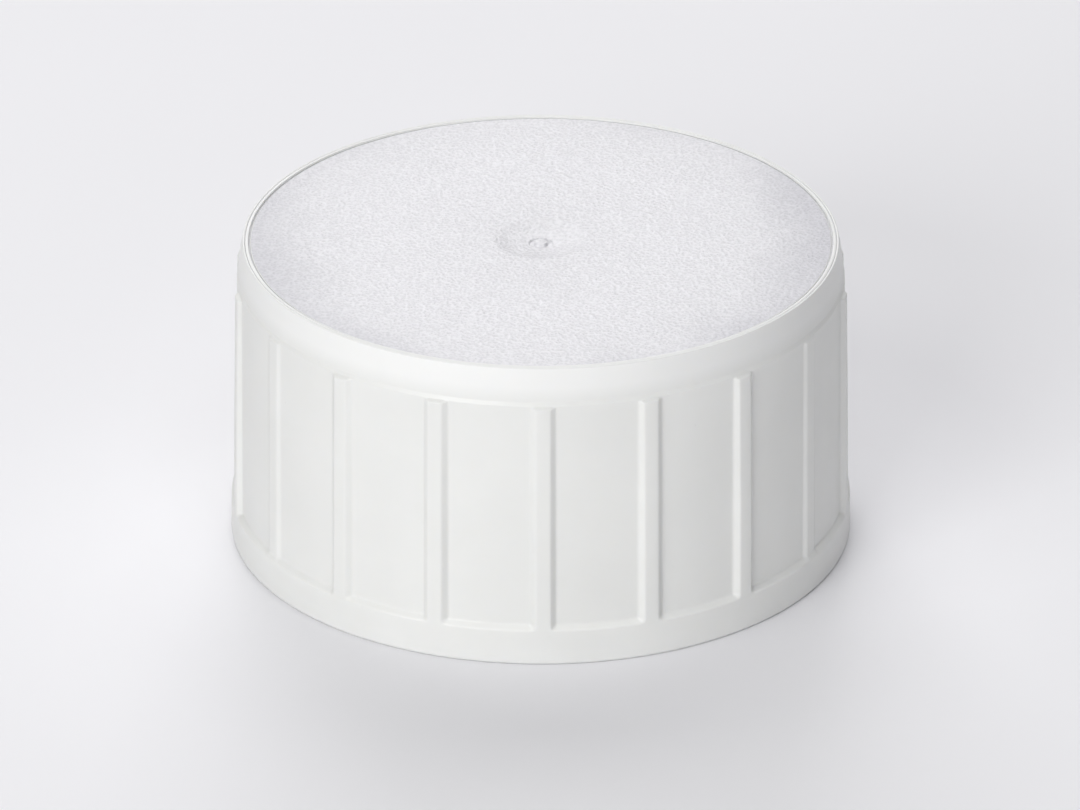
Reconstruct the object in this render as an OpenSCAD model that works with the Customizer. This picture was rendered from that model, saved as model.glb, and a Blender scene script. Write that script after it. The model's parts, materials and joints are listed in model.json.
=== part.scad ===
// Ribbed screw cap with a captive seal disc under its top plate.
// The cap stands on its open mouth: the origin is the centre of the mouth plane, and +Z points
// to the closed top. The front rib is on -Y.

/* [Outside] */
// Height from the mouth plane to the flat rim round the top
cap_h = 27.3; // [27:0.1:30]
// Diameter of the plain band round the mouth, which is the widest place
band_d = 54; // [53.6:0.1:56]
// Height of the plain band round the mouth
band_h = 3.3; // [2.5:0.1:5]
// Height of the plain shoulder between the ribs and the top
shoulder_h = 3.3; // [2.5:0.1:5]
// How far the whole outside draws in from the band to the rim, measured on the radius
draw_in = 1.35; // [1.1:0.05:1.5]

/* [Ribs] */
// Number of grip ribs
rib_count = 18; // [6:1:24]
// Width of a rib across its crest
rib_crest_w = 1.6; // [1.2:0.1:2.2]
// Width of a rib where it meets the wall
rib_base_w = 2.4; // [2.3:0.1:3.2]
// How far a rib stands out at its upper end
rib_proud = 0.35; // [0.2:0.05:0.45]

/* [Top] */
// Width of the flat smooth rim round the textured disc
rim_w = 0.45; // [0.3:0.05:0.8]
// How far the textured disc lies below the rim
disc_sink = 0.1; // [0.05:0.05:0.3]
// Thickness of the top plate
plate_t = 2.3; // [2:0.1:2.6]
// Diameter of the dished gate mark in the middle of the disc
gate_d = 7.6; // [5:0.1:10]
// Depth of the dish
gate_depth = 0.35; // [0.2:0.05:0.5]
// Diameter of the gate nub at the bottom of the dish
nub_d = 1; // [0.8:0.1:1.4]

/* [Thread] */
// Diameter of the thread's root, which is the inside wall of the skirt
root_d = 45.8; // [45.4:0.1:46.2]
// Diameter inside the crests of the thread
crest_d = 43; // [42.8:0.1:43.6]
// Rise of the thread in one turn
pitch = 4; // [3.5:0.25:4.5]
// Number of turns, with both run-outs
turns = 2.5; // [1.25:0.25:2.5]

/* [Mouth and seal] */
// Diameter of the plain entry bore below the thread
entry_d = 47.2; // [46.8:0.1:47.6]
// Depth of the plain entry bore
entry_h = 2.8; // [2:0.1:3]
// Diameter of the pocket that holds the seal
pocket_d = 44; // [43.9:0.1:44.6]
// Diameter inside the bead that keeps the seal in its pocket
bead_d = 42.6; // [42.2:0.1:42.8]
// Thickness of the rubber disc of the seal
seal_t = 3; // [2.5:0.1:3.2]
// Thickness of the facing film bonded under the rubber disc
facing_t = 0.2; // [0.1:0.05:0.4]
// Running clearance round the seal, on the radius
seal_clear = 0.1; // [0.05:0.01:0.1]

/* [Hidden] */
$fn = 96;

edge_steps = 6;           // straight steps in a quarter round
band_r = band_d / 2;
band_flare = 0.04;        // the band's taper from its foot to its top, on the radius
band_step = 0.55;         // the panels' foot lies this far inside the band's foot
ledge_h = 0.05;           // height over which each ledge steps in
mouth_round = 0.3;        // radius of the outer edge of the mouth
mouth_chamfer = 0.5;      // chamfer at the inner edge of the mouth
rim_round = 0.2;          // radius of the outer edge of the rim
rim_r = band_r - draw_in;
disc_r = rim_r - rim_w;
shoulder_z = cap_h - shoulder_h;
shoulder_flare = 0.4;     // the shoulder's taper from the rim to its foot, on the radius
shoulder_r = rim_r + shoulder_flare;
panel_step = 0.15;        // the panels start this far outside the shoulder
panel_top_r = shoulder_r + panel_step;
panel_foot_r = band_r - band_step;
rib_inset = 0.03;         // the ribs' foot lies this far inside the top of the band
rib_lap = 0.5;            // how far the ribs run down into the band
rib_bury = 0.8;           // how deep the ribs are rooted in the wall
rib_top_r = panel_top_r + rib_proud;
rib_foot_r = band_r - band_flare - rib_inset;
rib_root_r = panel_top_r - rib_bury;

root_r = root_d / 2;
crest_r = crest_d / 2;
entry_r = entry_d / 2;
pocket_r = pocket_d / 2;
bead_r = bead_d / 2;
bead_round = 0.5;         // radius of the bead's nose
bead_slope = 0.6;         // height of the slope from the wall to the bead
roof_z = cap_h - plate_t; // underside of the top plate
seal_float = 0.1;         // free height above and below the seal
seal_top_z = roof_z - seal_float;
facing_top_z = seal_top_z - seal_t;
facing_z = facing_top_z - facing_t;
bead_z = facing_z - seal_float - bead_round; // middle of the bead's nose
seal_r = pocket_r - seal_clear;

gate_r = gate_d / 2;
gate_ball_r = (gate_r * gate_r + gate_depth * gate_depth) / (2 * gate_depth);
disc_z = cap_h - disc_sink;
nub_r = nub_d / 2;
nub_rise = 0.15;          // the nub stands this far above the bottom of the dish
nub_moat_w = 0.4;         // width of the groove round the nub
nub_moat_depth = 0.2;     // depth of that groove below the dish
nub_slope = 0.1;          // how far the groove's two walls lean, on the radius
nub_moat_r = nub_r + nub_moat_w;
nub_moat_z = disc_z - gate_depth - nub_moat_depth;
nub_top_z = disc_z - gate_depth + nub_rise;

ridge_steps = 48;         // steps in one turn of the thread
ridge_fade = 8;           // steps in each run-out
ridge_sink = 0.4;         // how deep the ridge is rooted in the wall
ridge_hide = 0.1;         // the run-outs' noses start this deep inside the wall
ridge_base_w = 2.6;
ridge_crest_w = 1;
ridge_lead = 0.2;         // plain wall between the entry bore's cone and the ridge
ridge_z = entry_h + entry_r - root_r + ridge_lead + ridge_base_w / 2;
ridge_count = turns * ridge_steps;

// Points of a round corner from angle a0 to angle a1
function arc(x, z, r, a0, a1, steps) =
    [for (i = [0 : steps]) let (a = a0 + (a1 - a0) * i / steps) [x + r * cos(a), z + r * sin(a)]];

// Height of the dish at distance x from the axis
function dish_z(x) = disc_z - gate_depth + gate_ball_r - sqrt(gate_ball_r * gate_ball_r - x * x);

// How far the ridge has risen out of the wall at step i, from 0 to 1
function ridge_rise(i) = min(1, i / ridge_fade, (ridge_count - i) / ridge_fade);

// The four corners of the ridge at step i
function ridge_ring(i) =
    let (
        turn = 360 * i / ridge_steps,
        z = ridge_z + pitch * i / ridge_steps,
        back = root_r + ridge_sink,
        hidden = root_r + ridge_hide,
        nose = hidden - (hidden - crest_r) * ridge_rise(i),
        corners = [
            [back, z - ridge_base_w / 2],
            [nose, z - ridge_crest_w / 2],
            [nose, z + ridge_crest_w / 2],
            [back, z + ridge_base_w / 2]
        ]
    )
    [for (c = corners) [c[0] * cos(turn), c[0] * sin(turn), c[1]]];

// Right-hand ridge wound round the axis, tapered into the wall at both ends
module thread_ridge() {
    sides = [
        for (i = [0 : ridge_count - 1], j = [0 : 3])
            let (a = 4 * i + j, b = 4 * i + (j + 1) % 4)
            each [[a, b + 4, b], [a, a + 4, b + 4]]
    ];
    last = 4 * ridge_count;
    polyhedron(
        points = [for (i = [0 : ridge_count]) each ridge_ring(i)],
        faces = concat(sides, [[0, 1, 2, 3], [last + 3, last + 2, last + 1, last]])
    );
}

// Half section of everything that is round, from the mouth up the outside and back down the inside
module round_section() {
    outside = concat(
        arc(band_r - mouth_round, mouth_round, mouth_round, -90, 0, edge_steps),
        [
            [band_r - band_flare, band_h],
            [panel_foot_r, band_h + ledge_h],
            [panel_top_r, shoulder_z],
            [shoulder_r, shoulder_z + ledge_h]
        ],
        arc(rim_r - rim_round, cap_h - rim_round, rim_round, 0, 90, edge_steps),
        [[disc_r, cap_h], [disc_r - disc_sink, disc_z]]
    );
    gate = concat(
        [for (i = [edge_steps : -1 : 1])
            let (x = nub_moat_r + (gate_r - nub_moat_r) * i / edge_steps)
            [x, dish_z(x)]],
        [
            [nub_moat_r, dish_z(nub_moat_r)],
            [nub_moat_r - nub_slope, nub_moat_z],
            [nub_r, nub_moat_z],
            [nub_r - nub_slope, nub_top_z],
            [0, nub_top_z]
        ]
    );
    inside = concat(
        [[0, roof_z], [pocket_r, roof_z], [pocket_r, bead_z + bead_round]],
        arc(bead_r + bead_round, bead_z, bead_round, 90, 270, edge_steps),
        [
            [root_r, bead_z - bead_round - bead_slope],
            [root_r, entry_h + entry_r - root_r],
            [entry_r, entry_h],
            [entry_r, mouth_chamfer],
            [entry_r + mouth_chamfer, 0]
        ]
    );
    polygon(concat(outside, gate, inside));
}

// Ring of ribs: straight bars cut to a drafted crest
module ribs() {
    intersection() {
        rotate_extrude()
            polygon([
                [rib_root_r, band_h - rib_lap],
                [rib_foot_r, band_h - rib_lap],
                [rib_top_r, shoulder_z],
                [rib_root_r, shoulder_z]
            ]);
        for (i = [0 : rib_count - 1])
            rotate([0, 0, 360 * i / rib_count - 90])
                rib_bar();
    }
}

// One straight bar along +X, wide at the wall and narrow at the crest
module rib_bar() {
    reach = band_r + rib_bury; // past the outermost face
    slope = (rib_base_w - rib_crest_w) / 2 / (rib_foot_r - panel_foot_r);
    function half_w(x) = rib_base_w / 2 - slope * (x - panel_foot_r);
    linear_extrude(height = cap_h)
        polygon([
            [rib_root_r, -half_w(rib_root_r)],
            [reach, -half_w(reach)],
            [reach, half_w(reach)],
            [rib_root_r, half_w(rib_root_r)]
        ]);
}

// The moulded cap: top plate, skirt, ribs, thread and seal bead in one piece
module cap_shell() {
    color([0.94, 0.94, 0.93])
        union() {
            rotate_extrude()
                round_section();
            ribs();
            thread_ridge();
        }
}

// Soft disc that lies loose in the pocket above the bead
module seal_disc() {
    color([0.80, 0.82, 0.80])
        translate([0, 0, facing_top_z])
            cylinder(h = seal_t, r = seal_r);
}

// Thin inert film bonded to the underside of the seal disc
module seal_facing() {
    color([0.96, 0.94, 0.88])
        translate([0, 0, facing_z])
            cylinder(h = facing_t, r = seal_r);
}

cap_shell();
seal_disc();
seal_facing();
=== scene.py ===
"""White ribbed screw cap: the moulded cap, and the rubber disc and thin film that seal its neck.

Shapes are worked out in millimetres round the cap's axis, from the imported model's boxes and mounts,
and are scaled to metres when a mesh is made. Profiles are lists of (radius, height) rows.
"""

import json
import math

import bmesh
import bpy
import numpy as np
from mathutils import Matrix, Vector


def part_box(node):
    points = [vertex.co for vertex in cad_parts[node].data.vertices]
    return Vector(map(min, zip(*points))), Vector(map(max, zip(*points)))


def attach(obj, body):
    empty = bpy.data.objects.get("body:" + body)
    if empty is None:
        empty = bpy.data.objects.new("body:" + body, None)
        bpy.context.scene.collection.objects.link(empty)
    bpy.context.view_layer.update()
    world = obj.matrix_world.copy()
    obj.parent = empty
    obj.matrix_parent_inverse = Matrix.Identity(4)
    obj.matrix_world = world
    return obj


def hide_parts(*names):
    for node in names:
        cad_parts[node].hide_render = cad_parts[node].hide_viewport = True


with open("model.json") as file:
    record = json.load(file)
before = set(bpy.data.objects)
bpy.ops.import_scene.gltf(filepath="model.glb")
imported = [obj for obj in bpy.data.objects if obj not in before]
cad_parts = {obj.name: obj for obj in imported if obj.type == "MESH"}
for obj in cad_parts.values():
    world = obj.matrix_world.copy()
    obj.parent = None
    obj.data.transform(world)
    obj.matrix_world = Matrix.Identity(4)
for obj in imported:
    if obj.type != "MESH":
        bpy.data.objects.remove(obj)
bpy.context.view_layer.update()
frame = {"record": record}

MM = 0.001
MOUNTS = {mount["name"]: mount for mount in frame["record"]["mounts"]}


def node_box(node):
    """Lowest and highest corner of a CAD node, in millimetres."""
    low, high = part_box(node)
    return low / MM, high / MM


# ---- Sizes from the frame ----
CAP_LOW, CAP_HIGH = node_box("cap_shell")
DISC_LOW, DISC_HIGH = node_box("seal_disc")
FILM_LOW, FILM_HIGH = node_box("seal_facing")
BAND_R = min(CAP_HIGH.x, -CAP_LOW.x, CAP_HIGH.y, -CAP_LOW.y)
CAP_H = CAP_HIGH.z
PLATE_Z = MOUNTS["top_disc"]["pos_m"][2] / MM
ENTRY_R = MOUNTS["mouth_entry"]["dims"]["r_mm"]
SEAL_R = DISC_HIGH.x

# ---- Outside of the cap ----
BAND_H = 3.3
BAND_FLARE = 0.04
PANEL_FOOT_R = BAND_R - 0.55
SHOULDER_Z = CAP_H - 3.3
RIM_R = BAND_R - 1.35
SHOULDER_R = RIM_R + 0.4
PANEL_TOP_R = SHOULDER_R + 0.15
RIB_COUNT = 18
RIB_FOOT_R = BAND_R - BAND_FLARE - 0.01
RIB_TOP_R = PANEL_TOP_R + 0.31
RIB_HALF_W = 1.15       # from a rib's middle to the foot of its fillet
RIB_SLOPE_W = 0.62      # width of a rib's side, fillets included
RIB_END_H = 0.26        # height of the slope at a rib's upper end
RIB_CORNER = 0.5        # roundness of the two corners at that end
RIB_CROWN = 0.06        # how much the crest is domed
FAINT_RIBS = (3, 15)    # the ribs 60 degrees to each side of the front one are lower
FAINT_SHARE = 0.45
# Columns of the mesh from the middle of a rib to the middle of a panel, along the wall
RIB_COLUMNS = (0, 0.25, 0.45, 0.53, 0.6, 0.67, 0.74, 0.81, 0.88, 0.95, 1.03, 1.12, 1.25, 2.2, 3.5)
HALF_PERIOD = math.pi / RIB_COUNT
FRONT = -math.pi / 2    # the front rib is on -Y

# ---- Top of the cap ----
RING_W = 0.48           # flat smooth ring round the textured disc, with its rounded outer edge
CREASE_R = RIM_R - 0.2  # fine crease round the ring
CREASE_HALF_W = 0.06
CREASE_DEPTH = 0.09
GROOVE_W = 0.15
GROOVE_DEPTH = 0.08     # below the disc
DISC_R = RIM_R - RING_W - GROOVE_W - 0.09
GATE_R = 4.0
GATE_DEPTH = 0.45
NUB_R = 0.6
NUB_MOAT_R = 1.07       # outside of the groove round the nub
NUB_TOP_Z = PLATE_Z - GATE_DEPTH + 0.185  # middle of the nub's slightly domed top

# ---- Inside of the cap ----
ROOF_Z = DISC_HIGH.z + 0.1
POCKET_R = SEAL_R + 0.1
BEAD_R = POCKET_R - 0.7
BEAD_ROUND = 0.5
BEAD_Z = FILM_LOW.z - 0.1 - BEAD_ROUND
ROOT_R = ENTRY_R - 0.7
CREST_R = ROOT_R - 1.4
ENTRY_H = 2.8
PITCH = 4
THREAD_TURNS = 2.5
THREAD_Z = 5.0          # height of the ridge's middle at its lower end
THREAD_FADE = math.radians(60)
RIDGE_BASE = 1.3        # half widths of the ridge at the wall and at its crest
RIDGE_CREST = 0.5
RIDGE_SOFTNESS = 0.09   # how much the ridge's corners are rounded
# Rows across one pitch of the thread, as heights from the middle of the ridge
RIDGE_ROWS = (-1.45, -1.36, -1.28, -1.18, -0.95, -0.68, -0.58, -0.5, -0.42, -0.3,
              0, 0.3, 0.42, 0.5, 0.58, 0.68, 0.95, 1.18, 1.28, 1.36, 1.6, 2.1)

COLUMNS = 180           # columns of a plain ring; a ribbed ring has three times as many
FEW_COLUMNS = 60        # columns of the small rings near the axis
TURN = 2 * math.pi
SMOOTH, TEXTURED = 0, 1  # places of the cap's two materials in its mesh


# ---- Profiles ----
def rounded(corners, steps=5, support=0.05):
    """Rows through corners (radius, height, fillet).

    A fillet is an arc with a close row on each side.
    """
    rows = []
    for i, (x, z, fillet) in enumerate(corners):
        here = Vector((x, z))
        if not fillet:
            rows.append(here)
            continue
        back = (Vector(corners[i - 1][:2]) - here).normalized()
        ahead = (Vector(corners[i + 1][:2]) - here).normalized()
        half = back.angle(ahead) / 2
        centre = here + (back + ahead).normalized() * fillet / math.sin(half)
        start = here + back * fillet / math.tan(half) - centre
        end = here + ahead * fillet / math.tan(half) - centre
        sweep = math.pi - 2 * half
        rows.append(centre + start + back * support)
        for k in range(steps + 1):
            share = k / steps
            mixed = start * math.sin((1 - share) * sweep) + end * math.sin(share * sweep)
            rows.append(centre + mixed / math.sin(sweep))
        rows.append(centre + end + ahead * support)
    return rows


def between(low, high, count):
    """Evenly spaced values from low to high, without the two ends."""
    return [low + (high - low) * i / (count + 1) for i in range(1, count + 1)]


def on_panel(z):
    """Radius of the wall between the ribs at height z."""
    share = (z - BAND_H) / (SHOULDER_Z - BAND_H)
    return PANEL_FOOT_R + (PANEL_TOP_R - PANEL_FOOT_R) * share


def on_shoulder(z):
    """Radius at height z of the shoulder, which bends inwards towards the rim."""
    return SHOULDER_R - (SHOULDER_R - RIM_R) * ((z - SHOULDER_Z) / (CAP_H - SHOULDER_Z)) ** 2


def crease_corners():
    """Corners of the fine crease between the ring and the rounded edge, from the outside inwards."""
    edge = CREASE_HALF_W - 0.01
    return [
        (CREASE_R + CREASE_HALF_W, CAP_H, 0),
        (CREASE_R + edge, CAP_H - 0.006, 0),
        (CREASE_R + 0.01, CAP_H - CREASE_DEPTH, 0),
        (CREASE_R - 0.01, CAP_H - CREASE_DEPTH, 0),
        (CREASE_R - edge, CAP_H - 0.006, 0),
        (CREASE_R - CREASE_HALF_W, CAP_H, 0),
    ]


def outside_rows():
    """Rows from the flat of the mouth up the outside and over the rim to the edge of the disc."""
    band_top_r = BAND_R - BAND_FLARE
    foot_end_z = 6
    wall_end_z = SHOULDER_Z - 1
    foot = rounded([
        (BAND_R - 0.75, 0, 0),
        (BAND_R, 0, 0.3),
        (BAND_R - BAND_FLARE / 2, BAND_H / 2, 0),
        (band_top_r, BAND_H - 0.08, 0.25),
        (PANEL_FOOT_R, BAND_H + 0.28, 0.3),
        (on_panel(foot_end_z), foot_end_z, 0),
    ])
    wall_zs = between(foot_end_z, wall_end_z, 4)
    rib_end_zs = [SHOULDER_Z - h for h in (1, 0.7, 0.5, 0.42, 0.36, 0.31, 0.26, 0.22, 0.18, 0.14)]
    wall = [Vector((on_panel(z), z)) for z in wall_zs + rib_end_zs]
    groove_r = RIM_R - RING_W
    top = rounded([
        (on_panel(wall_end_z), wall_end_z, 0),
        (PANEL_TOP_R, SHOULDER_Z - 0.02, 0.2),
        (SHOULDER_R, SHOULDER_Z + 0.32, 0.25),
        *[(on_shoulder(z), z, 0) for z in between(SHOULDER_Z + 0.4, CAP_H, 5)],
        (RIM_R, CAP_H, 0.1),
        *crease_corners(),
        (groove_r, CAP_H, 0.05),
        (groove_r - 0.04, PLATE_Z - GROOVE_DEPTH, 0.03),
        (groove_r - GROOVE_W, PLATE_Z - GROOVE_DEPTH, 0.03),
        (DISC_R, PLATE_Z, 0.05),
        (DISC_R - 1, PLATE_Z, 0),
    ], support=0.02)
    return foot + wall + top[1:-1]


def gate_rows():
    """Rows of the dished gate mark, from the disc round it to the foot of the nub's groove."""
    ball_r = (GATE_R ** 2 + GATE_DEPTH ** 2) / (2 * GATE_DEPTH)

    def dish_z(x):
        """Height of the dish at distance x from the axis."""
        return PLATE_Z - GATE_DEPTH + ball_r - math.sqrt(ball_r ** 2 - x ** 2)

    slope_r = GATE_R - 0.5
    lip = rounded([(GATE_R + 1, PLATE_Z, 0), (GATE_R, PLATE_Z, 1.2), (slope_r, dish_z(slope_r), 0)], 4)
    dish = [Vector((x, dish_z(x))) for x in between(NUB_MOAT_R + 0.12, slope_r, 5)[::-1]]
    return lip + dish


def nub_rows():
    """Rows of the groove round the nub and of the nub itself, down to its middle."""
    dish_z = PLATE_Z - GATE_DEPTH + 0.01
    moat_z = dish_z - 0.13
    nub_z = dish_z + 0.15
    return rounded([
        (NUB_MOAT_R + 0.15, dish_z, 0),
        (NUB_MOAT_R, dish_z, 0.05),
        (NUB_MOAT_R - 0.12, moat_z, 0.05),
        (NUB_R + 0.03, moat_z, 0.05),
        (NUB_R - 0.06, nub_z, 0.1),
        (0.15, nub_z + 0.02, 0),
    ], 3, 0.02)


def entry_rows():
    """Rows from the flat of the mouth through the entry bore to the plain wall under the thread."""
    return rounded([
        (ENTRY_R + 1.2, 0, 0),
        (ENTRY_R + 0.5, 0, 0.1),
        (ENTRY_R, 0.5, 0.15),
        (ENTRY_R, ENTRY_H, 0.2),
        (ROOT_R, ENTRY_H + ENTRY_R - ROOT_R, 0.06),
        (ROOT_R, THREAD_Z + RIDGE_ROWS[0], 0),
    ], 3, 0.02)[1:-1]


def pocket_rows():
    """Rows from the plain wall over the thread, over the bead and into the pocket, to the roof."""
    slope_z = BEAD_Z - BEAD_ROUND - 0.6
    shelf_z = BEAD_Z + BEAD_ROUND
    return rounded([
        (ROOT_R, slope_z - 1, 0),
        (ROOT_R, slope_z, 0.3),
        (BEAD_R + 0.35, BEAD_Z - BEAD_ROUND + 0.1, 0.25),
        (BEAD_R, BEAD_Z - 0.1, 0.2),
        (BEAD_R, BEAD_Z + 0.2, 0.2),
        (BEAD_R + 0.4, shelf_z, 0.08),
        (POCKET_R, shelf_z, 0.05),
        (POCKET_R, ROOF_Z, 0.08),
        (POCKET_R - 4, ROOF_Z, 0),
    ], 4, 0.02)[1:]


# ---- Columns ----
def plain_angles():
    """Evenly spaced angles of the columns of the plain rings."""
    return np.arange(COLUMNS) * TURN / COLUMNS


def ribbed_angles():
    """Angles of the columns of the ribbed rings, close together on the sides of each rib."""
    steps = np.array(RIB_COLUMNS) / PANEL_TOP_R
    period = np.concatenate([-steps[:0:-1], steps, [HALF_PERIOD]])
    angles = np.concatenate([FRONT + 2 * HALF_PERIOD * i + period for i in range(RIB_COUNT)])
    return angles[np.argsort(angles % TURN)] % TURN


def rib_share(angles, z):
    """How far the wall has risen to a rib's crest at each angle, from 0 to 1, and the crest's crown."""
    off_middle = (angles - FRONT + HALF_PERIOD) % (2 * HALF_PERIOD) - HALF_PERIOD
    across = np.abs(off_middle) * PANEL_TOP_R
    side = RIB_HALF_W - across
    end = (SHOULDER_Z + 0.02 - z) * RIB_SLOPE_W / RIB_END_H
    nearest = np.minimum(side, end)
    in_corner = (side < RIB_CORNER) & (end < RIB_CORNER)
    to_corner = RIB_CORNER - np.hypot(RIB_CORNER - side, RIB_CORNER - end)
    share = np.clip(np.where(in_corner, to_corner, nearest) / RIB_SLOPE_W, 0, 1)
    crown = RIB_CROWN * np.clip(1 - (across / RIB_HALF_W) ** 2, 0, 1)
    return share * share * (3 - 2 * share), crown


def rib_strength(angles):
    """Share of the full height that the nearest rib has at each angle."""
    nearest = np.round((angles - FRONT) / (2 * HALF_PERIOD)) % RIB_COUNT
    return np.where(np.isin(nearest, FAINT_RIBS), FAINT_SHARE, 1)


def ribbed_radius(row, angles):
    """Radius of the outside at each angle of a row, ribs included."""
    radius, z = row
    if not BAND_H - 0.4 < z < SHOULDER_Z + 0.1:
        return np.full(len(angles), radius)
    share, crown = rib_share(angles, z)
    up = (z - BAND_H) / (SHOULDER_Z - BAND_H)
    crest = RIB_FOOT_R + (RIB_TOP_R - RIB_FOOT_R) * up + crown * min(1, max(0, 3 * up))
    return radius + np.maximum(crest - radius, 0) * share * rib_strength(angles)


# ---- Mesh building ----
class Shell:
    """A closed mesh made of rings of points round the axis."""

    def __init__(self):
        self.points = []
        self.faces = []
        self.finishes = []

    def ring(self, radius, height, angles):
        """Adds one ring, with one radius or one for each angle, and returns its point numbers."""
        first = len(self.points)
        radius = np.broadcast_to(radius, angles.shape)
        height = np.broadcast_to(height, angles.shape)
        self.points += np.stack([radius * np.cos(angles), radius * np.sin(angles), height], -1).tolist()
        return list(range(first, len(self.points)))

    def face(self, points, finish=SMOOTH):
        """Adds one face; finish is the place of its material."""
        self.faces.append(points)
        self.finishes.append(finish)

    def join(self, one, other, finish):
        """Joins two rings, of the same count or where one has three times the points of the other."""
        if len(one) < len(other):
            one, other = other, one
        ratio = len(one) // len(other)
        for i in range(len(other)):
            wide = [one[(i * ratio + k) % len(one)] for k in range(ratio + 1)]
            self.face(wide + [other[(i + 1) % len(other)], other[i]], finish)

    def rings(self, rows, angles, last=None, finish=SMOOTH):
        """Adds a ring for each row, joins them in order, and joins the first to the last ring given."""
        for row in rows:
            made = self.ring(row[0], row[1], angles)
            if last is not None:
                self.join(last, made, finish)
            last = made
        return last

    def cap_off(self, last, height, finish=SMOOTH):
        """Closes a ring with triangles to a point on the axis."""
        middle = len(self.points)
        self.points.append([0, 0, height])
        for i in range(len(last)):
            self.face([last[i], last[(i + 1) % len(last)], middle], finish)


def mesh_piece(name, shell, materials, body, slot, *nodes):
    """Makes the piece from a closed shell, with smooth shading, and rides it on its body."""
    mesh = bpy.data.meshes.new(name)
    mesh.from_pydata((np.array(shell.points) * MM).tolist(), [], shell.faces)
    for material in materials:
        mesh.materials.append(material)
    mesh.polygons.foreach_set("material_index", shell.finishes)
    mesh.polygons.foreach_set("use_smooth", [True] * len(mesh.polygons))
    outward_faces(mesh)
    piece = bpy.data.objects.new(name, mesh)
    bpy.context.scene.collection.objects.link(piece)
    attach(piece, body)
    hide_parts(*nodes)
    return piece


def outward_faces(mesh):
    """Turns every face of a closed mesh outwards."""
    work = bmesh.new()
    work.from_mesh(mesh)
    bmesh.ops.recalc_face_normals(work, faces=work.faces)
    work.to_mesh(mesh)
    work.free()


def ridge_height(rows):
    """Share of the thread's height at each row across the ridge, with rounded corners."""
    slope = np.clip((RIDGE_BASE - np.abs(rows)) / (RIDGE_BASE - RIDGE_CREST), 0, 1)
    return slope - RIDGE_SOFTNESS * np.sin(2 * math.pi * slope)


def thread_columns(shell):
    """Columns of points across the wound wall, each closed by the foot of the column one turn on."""
    count = round(THREAD_TURNS * COLUMNS)
    turns = np.arange(count + 1) * TURN / COLUMNS
    rise = np.clip(np.minimum(turns, turns[-1] - turns) / THREAD_FADE, 0, 1)
    rise = rise * rise * (3 - 2 * rise)
    rows = np.array(RIDGE_ROWS)
    depth = (ROOT_R - CREST_R) * ridge_height(rows)
    strip = []
    for turn, share in zip(turns, rise):
        z = THREAD_Z + PITCH * turn / TURN + rows
        strip.append(shell.ring(ROOT_R - depth * share, z, np.full(len(rows), turn)))
    top_z = THREAD_Z + PITCH * turns[-COLUMNS:] / TURN + RIDGE_ROWS[0] + PITCH
    top = shell.ring(ROOT_R, top_z, turns[-COLUMNS:])
    feet_above = [points[0] for points in strip[COLUMNS:]] + top
    return [points + [foot] for points, foot in zip(strip, feet_above)]


def add_thread(shell, ring_below):
    """Winds the threaded wall from the ring below it up to a plain ring, and returns that ring."""
    columns = thread_columns(shell)
    for here, ahead in zip(columns, columns[1:]):
        for low in range(len(RIDGE_ROWS)):
            shell.face([here[low], ahead[low], ahead[low + 1], here[low + 1]])
    for k in range(COLUMNS):
        side = columns[k + 1][:1] if k < COLUMNS - 1 else columns[0]
        shell.face([ring_below[k], ring_below[(k + 1) % COLUMNS]] + side + columns[k][:1])
    first = len(columns) - 1 - COLUMNS
    ring_above = shell.ring(ROOT_R, THREAD_Z + PITCH * (THREAD_TURNS + 1), plain_angles())
    for k in range(COLUMNS):
        under = [columns[first + k][-1], columns[first + k + 1][-1]]
        if k == 0:
            under = columns[-1][::-1][:-1] + under
        over = [ring_above[(first + k + 1) % COLUMNS], ring_above[(first + k) % COLUMNS]]
        shell.face(under + over)
    return ring_above


def cap_body(plastic, textured):
    """The moulded cap: one closed shell from the mouth up the outside, and back down the inside."""
    shell = Shell()
    ribbed, plain = ribbed_angles(), plain_angles()
    few = np.arange(FEW_COLUMNS) * TURN / FEW_COLUMNS
    last = None
    mouth = None
    for row in outside_rows():
        made = shell.ring(ribbed_radius(row, ribbed), row.y, ribbed)
        if last is None:
            mouth = made
        else:
            shell.join(last, made, TEXTURED if row.x < DISC_R else SMOOTH)
        last = made
    flat = [Vector((r, PLATE_Z)) for r in (22, 18, 14, 10, 7)]
    last = shell.rings(flat + gate_rows(), plain, last, finish=TEXTURED)
    last = shell.rings(nub_rows(), few, last, finish=TEXTURED)
    shell.cap_off(last, NUB_TOP_Z, finish=TEXTURED)

    last = shell.rings(entry_rows(), plain, mouth)
    last = add_thread(shell, last)
    last = shell.rings(pocket_rows(), plain, last)
    last = shell.rings([Vector((9, ROOF_Z)), Vector((3, ROOF_Z))], few, last)
    shell.cap_off(last, ROOF_Z)
    return mesh_piece("cap_body", shell, [plastic, textured], "cap", "cap_plastic", "cap_shell")


def round_pad(name, low, high, edge, material, slot, node):
    """A flat round disc with rounded edges, for the rubber disc and for the film."""
    shell = Shell()
    middle = (low + high) / 2
    profile = rounded([
        (0.4 * SEAL_R, low, 0),
        (SEAL_R - 0.03, low, edge),
        (SEAL_R, middle, 0),
        (SEAL_R - 0.03, high, edge),
        (0.4 * SEAL_R, high, 0),
    ], 4, edge / 4)
    plain = plain_angles()
    few = plain[::COLUMNS // FEW_COLUMNS]
    first = shell.ring(2, low, few)
    last = shell.rings(profile, plain, first)
    last = shell.rings([Vector((2, high))], few, last)
    shell.cap_off(first, low)
    shell.cap_off(last, high)
    return mesh_piece(name, shell, [material], "seal", slot, node)


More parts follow.
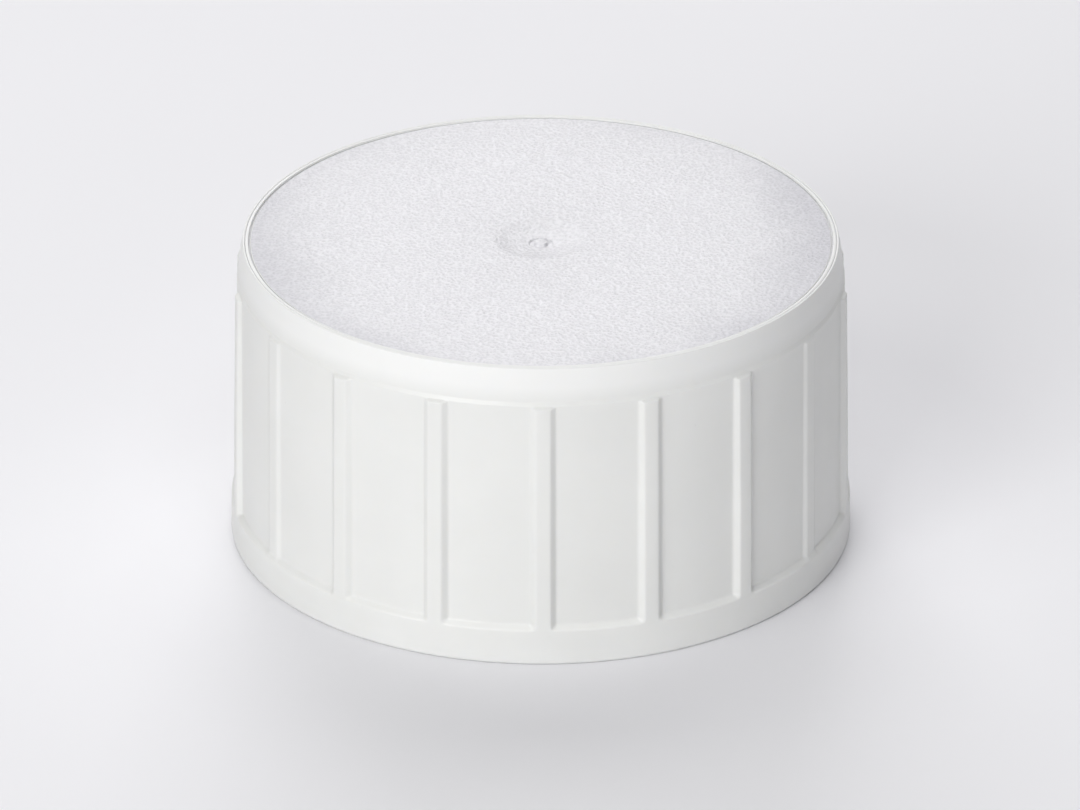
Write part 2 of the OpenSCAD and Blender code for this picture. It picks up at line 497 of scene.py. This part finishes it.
# ---- Materials ----
class Nodes:
    """Short names for the nodes that the materials below use."""

    def __init__(self, name):
        self.material = bpy.data.materials.new(name)
        self.material.use_nodes = True
        self.tree = self.material.node_tree
        self.shader = self.tree.nodes["Principled BSDF"]
        self.place = self.add("ShaderNodeTexCoord").outputs["Object"]

    def add(self, kind, **settings):
        """Adds a node of that kind."""
        node = self.tree.nodes.new(kind)
        for key, value in settings.items():
            setattr(node, key, value)
        return node

    def link(self, source, target):
        """Links one socket to another."""
        self.tree.links.new(source, target)

    def put(self, socket, value):
        """Sets a socket of a node to a value, or links it to another node's output."""
        if isinstance(value, bpy.types.NodeSocket):
            self.link(value, socket)
        else:
            socket.default_value = value

    def stretched(self, scale, shift=(0, 0, 0)):
        """Object coordinates, scaled along each axis and then shifted."""
        mapping = self.add("ShaderNodeMapping")
        mapping.inputs["Scale"].default_value = scale
        mapping.inputs["Location"].default_value = shift
        self.link(self.place, mapping.inputs["Vector"])
        return mapping.outputs["Vector"]

    def up(self):
        """Height above the mouth, in millimetres."""
        node = self.add("ShaderNodeSeparateXYZ")
        self.link(self.stretched((0, 0, 1 / MM)), node.inputs[0])
        return node.outputs["Z"]

    def from_axis(self, y_share=1.0, shift=0.0):
        """Distance from the cap's axis in millimetres, with Y shrunk and the axis shifted along -X."""
        node = self.add("ShaderNodeVectorMath", operation="LENGTH")
        self.link(self.stretched((1 / MM, y_share / MM, 0), (shift, 0, 0)), node.inputs[0])
        return node.outputs["Value"]

    def noise(self, size, detail=2, roughness=0.5, place=None):
        """Noise whose features are about size millimetres across."""
        node = self.add("ShaderNodeTexNoise")
        node.inputs["Scale"].default_value = 1 / (size * MM)
        node.inputs["Detail"].default_value = detail
        node.inputs["Roughness"].default_value = roughness
        self.link(place or self.place, node.inputs["Vector"])
        return node.outputs["Fac"]

    def cells(self, size, feature="F1"):
        """Distance to the nearest of scattered points that are about size millimetres apart."""
        node = self.add("ShaderNodeTexVoronoi", feature=feature)
        node.inputs["Scale"].default_value = 1 / (size * MM)
        self.link(self.place, node.inputs["Vector"])
        return node.outputs["Distance"]

    def ramp(self, value, low, high, out_low=0.0, out_high=1.0):
        """Maps a value from one range to another, and clamps it."""
        node = self.add("ShaderNodeMapRange")
        limits = {"From Min": low, "From Max": high, "To Min": out_low, "To Max": out_high}
        for key, number in limits.items():
            node.inputs[key].default_value = number
        self.link(value, node.inputs["Value"])
        return node.outputs["Result"]

    def maths(self, operation, one, two):
        """Adds, subtracts or multiplies two values."""
        node = self.add("ShaderNodeMath", operation=operation)
        self.put(node.inputs[0], one)
        self.put(node.inputs[1], two)
        return node.outputs["Value"]

    def mix(self, share, one, two, blend="MIX"):
        """Mixes two colours, or tints the first with the second."""
        node = self.add("ShaderNodeMix", data_type="RGBA", blend_type=blend)
        self.put(node.inputs["Factor"], share)
        self.put(node.inputs["A"], one)
        self.put(node.inputs["B"], two)
        return node.outputs["Result"]

    def bump(self, height, depth, under=None):
        """Bumps whose height of 1 is depth millimetres, on top of those under them."""
        node = self.add("ShaderNodeBump")
        node.inputs["Distance"].default_value = depth * MM
        self.link(height, node.inputs["Height"])
        if under is not None:
            self.link(under, node.inputs["Normal"])
        return node.outputs["Normal"]

    def finish(self, colour, roughness, normal, **sockets):
        """Links the results to the shader, sets its other sockets and returns the material."""
        self.put(self.shader.inputs["Base Color"], colour)
        self.put(self.shader.inputs["Roughness"], roughness)
        self.put(self.shader.inputs["Normal"], normal)
        for key, value in sockets.items():
            self.put(self.shader.inputs[key.replace("_", " ")], value)
        return self.material


WHITE = (0.86, 0.865, 0.85, 1)
WHITE_DEEP = (0.835, 0.84, 0.825, 1)
# Painted light: a whiter white painted on the shoulder for the light from above.
WHITE_PAINTED_TOP_LIGHT = (0.915, 0.92, 0.912, 1)
PLASTIC_IOR = 1.49


def groove_painted_shade(n):
    """Share of painted shade, a dark grey painted at the bottom of the groove and of the crease round
    the ring.
    """
    out = n.from_axis()
    bottom = n.ramp(out, RIM_R - 0.35, RIM_R - 0.3, PLATE_Z - GROOVE_DEPTH, CAP_H - CREASE_DEPTH)
    # Painted shade where the surface is down in the groove or the crease.
    dust_and_shade = n.ramp(n.maths("SUBTRACT", n.up(), bottom), 0.01, 0.05, 1, 0)
    inside_rim = n.ramp(out, RIM_R - 0.12, RIM_R - 0.08, 1, 0)
    on_top = n.ramp(n.up(), ROOF_Z + 1, ROOF_Z + 1.1)
    return n.maths("MULTIPLY", dust_and_shade, n.maths("MULTIPLY", inside_rim, on_top))


def smooth_plastic():
    """White polypropylene from a polished mould: faint flow waves, drag marks and a rare dark speck.

    It is painted a little whiter round the top than on the skirt: painted light from above.
    ring that the cap stands on when it lies top down is scuffed dull.
    """
    n = Nodes("smooth_polypropylene")
    clouds = n.noise(7, detail=3)
    base = n.mix(n.ramp(clouds, 0.3, 0.7), WHITE, WHITE_DEEP)
    # Painted light: the shoulder is painted whiter towards the top, for the light from above.
    painted_top_light = n.ramp(n.up(), SHOULDER_Z + 0.2, SHOULDER_Z + 1.6, 0, 0.95)
    base = n.mix(painted_top_light, base, WHITE_PAINTED_TOP_LIGHT)
    # The scuffed ring is rougher, and its colour goes back to about the plain white, without the painted
    # light.
    scuffed = n.ramp(n.up(), CAP_H - 0.12, CAP_H - 0.02)
    base = n.mix(scuffed, base, (0.86, 0.865, 0.855, 1))
    specks = n.cells(5.5)
    speck_here = n.ramp(specks, 0.012, 0.03, 1, 0)
    colour = n.mix(n.maths("MULTIPLY", speck_here, 0.35), base, (0.45, 0.43, 0.4, 1))
    # Painted shade: dark grey at the bottom of the groove round the disc and of the crease round the
    # ring.
    colour = n.mix(groove_painted_shade(n), colour, (0.52, 0.52, 0.53, 1))
    drag = n.noise(0.35, detail=3, roughness=0.6, place=n.stretched((1, 1, 0.04)))
    grain = n.noise(0.12)
    waves = n.noise(5, detail=1)
    roughness = n.ramp(n.maths("ADD", drag, clouds), 0.7, 1.3, 0.35, 0.41)
    roughness = n.maths("ADD", roughness, n.maths("MULTIPLY", scuffed, 0.08))
    normal = n.bump(waves, 0.012)
    normal = n.bump(drag, 0.0004, under=normal)
    normal = n.bump(grain, 0.0004, under=normal)
    return n.finish(colour, roughness, normal, IOR=PLASTIC_IOR, Subsurface_Weight=0.25,
                    Subsurface_Radius=(1.0, 0.95, 0.85), Subsurface_Scale=0.9 * MM)


def textured_plastic():
    """The same plastic from a spark-eroded mould face: fine pits, mottled, duller at the edge, with
    painted shade in the pits and towards the edge and a painted cool tint.
    """
    n = Nodes("spark_textured_polypropylene")
    pits = n.cells(0.3, feature="SMOOTH_F1")
    fine = n.noise(0.16, roughness=0.6)
    blotches = n.noise(3.2, detail=4, roughness=0.6)
    patches = n.noise(12)
    height = n.maths("ADD", n.maths("MULTIPLY", pits, 0.9), n.maths("MULTIPLY", fine, 0.6))
    mottle = n.maths("ADD", n.maths("MULTIPLY", blotches, 0.6), n.maths("MULTIPLY", patches, 0.4))
    # Painted light: the disc's whites carry a cool lavender tint for the cool light from above and
    # behind; the mottle between them is the plastic's own tone.
    base = n.mix(n.ramp(mottle, 0.38, 0.62), (0.835, 0.83, 0.86, 1), (0.86, 0.855, 0.885, 1))
    wear = n.ramp(n.maths("ADD", fine, mottle), 0.75, 1.25, -0.04, 0.04)
    outwards = n.maths("ADD", n.from_axis(0.8, 1), n.ramp(patches, 0.3, 0.7, -2, 2))
    # Painted shade: the low parts of the pitted surface are painted darker.
    colour = n.mix(n.ramp(height, 0.45, 0.85), (0.74, 0.735, 0.765, 1), base)
    # Painted shade: the disc is painted darker towards its edge, most on the +X side.
    colour = n.mix(n.ramp(outwards, 19, 26), colour, (0.83, 0.83, 0.85, 1), "MULTIPLY")
    gloss = n.maths("ADD", n.ramp(outwards, 3, 9, 0.07, 0.0), n.ramp(outwards, 14, 25, 0.0, 0.22))
    roughness = n.maths("ADD", wear, n.maths("ADD", gloss, 0.33))
    normal = n.bump(patches, 0.03)
    normal = n.bump(height, 0.08, under=normal)
    return n.finish(colour, roughness, normal, IOR=PLASTIC_IOR)


def seal_rubber():
    """Translucent grey-white silicone: soft sheen, mould haze and fine dust."""
    n = Nodes("silicone_rubber")
    haze = n.noise(4, detail=4, roughness=0.6)
    dust_and_shade = n.noise(0.1)
    colour = n.mix(n.ramp(haze, 0.35, 0.65), (0.68, 0.71, 0.68, 1), (0.74, 0.76, 0.74, 1))
    roughness = n.ramp(n.maths("ADD", haze, dust_and_shade), 0.8, 1.2, 0.42, 0.56)
    normal = n.bump(dust_and_shade, 0.004, under=n.bump(haze, 0.02))
    return n.finish(colour, roughness, normal, IOR=1.42, Subsurface_Weight=0.4,
                    Subsurface_Radius=(1.0, 1.0, 0.95), Subsurface_Scale=1.5 * MM)


def seal_film():
    """Off-white fluoropolymer film, skived from a block: fine straight knife lines, waxy sheen."""
    n = Nodes("fluoropolymer_film")
    lines = n.noise(0.22, detail=3, roughness=0.7, place=n.stretched((1, 0.02, 1)))
    bands = n.noise(1.8, place=n.stretched((1, 0.05, 1)))
    haze = n.noise(6, detail=3)
    tone = n.maths("ADD", n.maths("MULTIPLY", bands, 0.5), n.maths("MULTIPLY", haze, 0.5))
    colour = n.mix(n.ramp(tone, 0.4, 0.6), (0.82, 0.80, 0.74, 1), (0.88, 0.86, 0.80, 1))
    roughness = n.ramp(lines, 0.3, 0.7, 0.3, 0.44)
    normal = n.bump(lines, 0.006, under=n.bump(bands, 0.015))
    return n.finish(colour, roughness, normal, IOR=1.36, Subsurface_Weight=0.15,
                    Subsurface_Radius=(1.0, 0.97, 0.9), Subsurface_Scale=0.4 * MM)


def floor_paint():
    """Pale matt studio floor with a trace of unevenness."""
    n = Nodes("studio_floor")
    clouds = n.noise(60)
    colour = n.mix(n.ramp(clouds, 0.3, 0.7), (0.84, 0.838, 0.862, 1), (0.86, 0.858, 0.882, 1))
    return n.finish(colour, n.ramp(clouds, 0.3, 0.7, 0.5, 0.56), n.bump(n.noise(2), 0.01))


# ---- Camera, lights and floor ----
CAMERA_ELEVATION = math.radians(26.3)
CAMERA_AZIMUTH = math.radians(-0.4)
CAMERA_DISTANCE = 0.75
CAMERA_TARGET = Vector((-0.07, 0, 11.23)) * MM
LENS = 288


def from_target(azimuth, elevation, distance):
    """A place at that azimuth and elevation from the target; azimuth 0 is -Y, and +X is to its right."""
    flat = math.cos(elevation) * distance
    out = Vector((math.sin(azimuth) * flat, -math.cos(azimuth) * flat, math.sin(elevation) * distance))
    return CAMERA_TARGET + out


def aim(thing, place):
    """Puts a camera or light at a place, facing the target."""
    thing.location = place
    thing.rotation_mode = "QUATERNION"
    thing.rotation_quaternion = (CAMERA_TARGET - place).to_track_quat("-Z", "Y")
    bpy.context.scene.collection.objects.link(thing)


def add_camera():
    """The photo's view: low on the front, through a long lens."""
    data = bpy.data.cameras.new("camera")
    data.lens = LENS
    data.sensor_width = 36
    data.clip_start = 0.01
    data.clip_end = 50
    camera = bpy.data.objects.new("camera", data)
    aim(camera, from_target(CAMERA_AZIMUTH, CAMERA_ELEVATION, CAMERA_DISTANCE))
    bpy.context.scene.camera = camera


def add_light(name, azimuth, elevation, distance, size, power, colour):
    """A soft rectangular light, with its angles in degrees and its size as (width, height)."""
    data = bpy.data.lights.new(name, "AREA")
    data.shape = "RECTANGLE"
    data.size, data.size_y = size
    data.energy = power
    data.color = colour
    light = bpy.data.objects.new(name, data)
    aim(light, from_target(math.radians(azimuth), math.radians(elevation), distance))
    light.visible_camera = False


def add_lights():
    """Soft lights all round: the strongest are at the front left and behind."""
    add_light("key", -30, 24, 0.9, (0.45, 0.3), 3.55, (1.0, 1.0, 0.99))
    add_light("left", -50, 45, 0.9, (0.45, 0.3), 1.2, (1.0, 1.0, 0.97))
    add_light("front_top", 5, 60, 0.9, (0.5, 0.4), 1.6, (0.97, 0.97, 1.0))
    add_light("top", 0, 88, 0.9, (0.7, 0.7), 0.4, (1.0, 0.98, 1.0))
    add_light("high_back", 180, 55, 0.9, (0.7, 0.35), 1.9, (1.0, 1.0, 0.98))
    add_light("low_back", -175, 27, 0.9, (0.5, 0.25), 2.2, (0.98, 0.97, 1.0))
    add_light("back_left", -150, 27, 0.9, (0.5, 0.25), 0.4, (1.0, 1.0, 1.0))
    add_light("back_right", 150, 27, 0.9, (0.5, 0.25), 0.6, (1.0, 1.0, 1.0))
    add_light("front_right", 15, 12, 0.9, (0.45, 0.3), 0.45, (1.0, 1.0, 0.97))
    add_light("right", 45, 30, 0.9, (0.45, 0.3), 0.2, (1.0, 1.0, 1.0))
    add_light("far_right", 80, 12, 0.9, (0.45, 0.3), 0.4, (1.0, 1.0, 1.0))


def add_world():
    """Faint even light from everywhere."""
    world = bpy.data.worlds.new("studio")
    world.use_nodes = True
    background = world.node_tree.nodes["Background"]
    background.inputs["Color"].default_value = (0.97, 0.97, 1.0, 1)
    background.inputs["Strength"].default_value = 0.04
    bpy.context.scene.world = world


def add_floor():
    """A wide round floor that the cap stands on."""
    shell = Shell()
    shell.rings([Vector((r / MM, 0)) for r in (0.1, 0.5, 4)], plain_angles())
    shell.cap_off(list(range(COLUMNS)), 0)
    mesh = bpy.data.meshes.new("floor")
    mesh.from_pydata((np.array(shell.points) * MM).tolist(), [], shell.faces)
    mesh.materials.append(floor_paint())
    floor = bpy.data.objects.new("floor", mesh)
    bpy.context.scene.collection.objects.link(floor)


add_camera()
add_world()
add_lights()
add_floor()
cap_body(smooth_plastic(), textured_plastic())
round_pad("seal_rubber_disc", DISC_LOW.z, DISC_HIGH.z, 0.25, seal_rubber(), "seal_rubber", "seal_disc")
round_pad("seal_film", FILM_LOW.z, FILM_HIGH.z, 0.06, seal_film(), "seal_film", "seal_facing")
bpy.context.scene.view_settings.view_transform = "Standard"
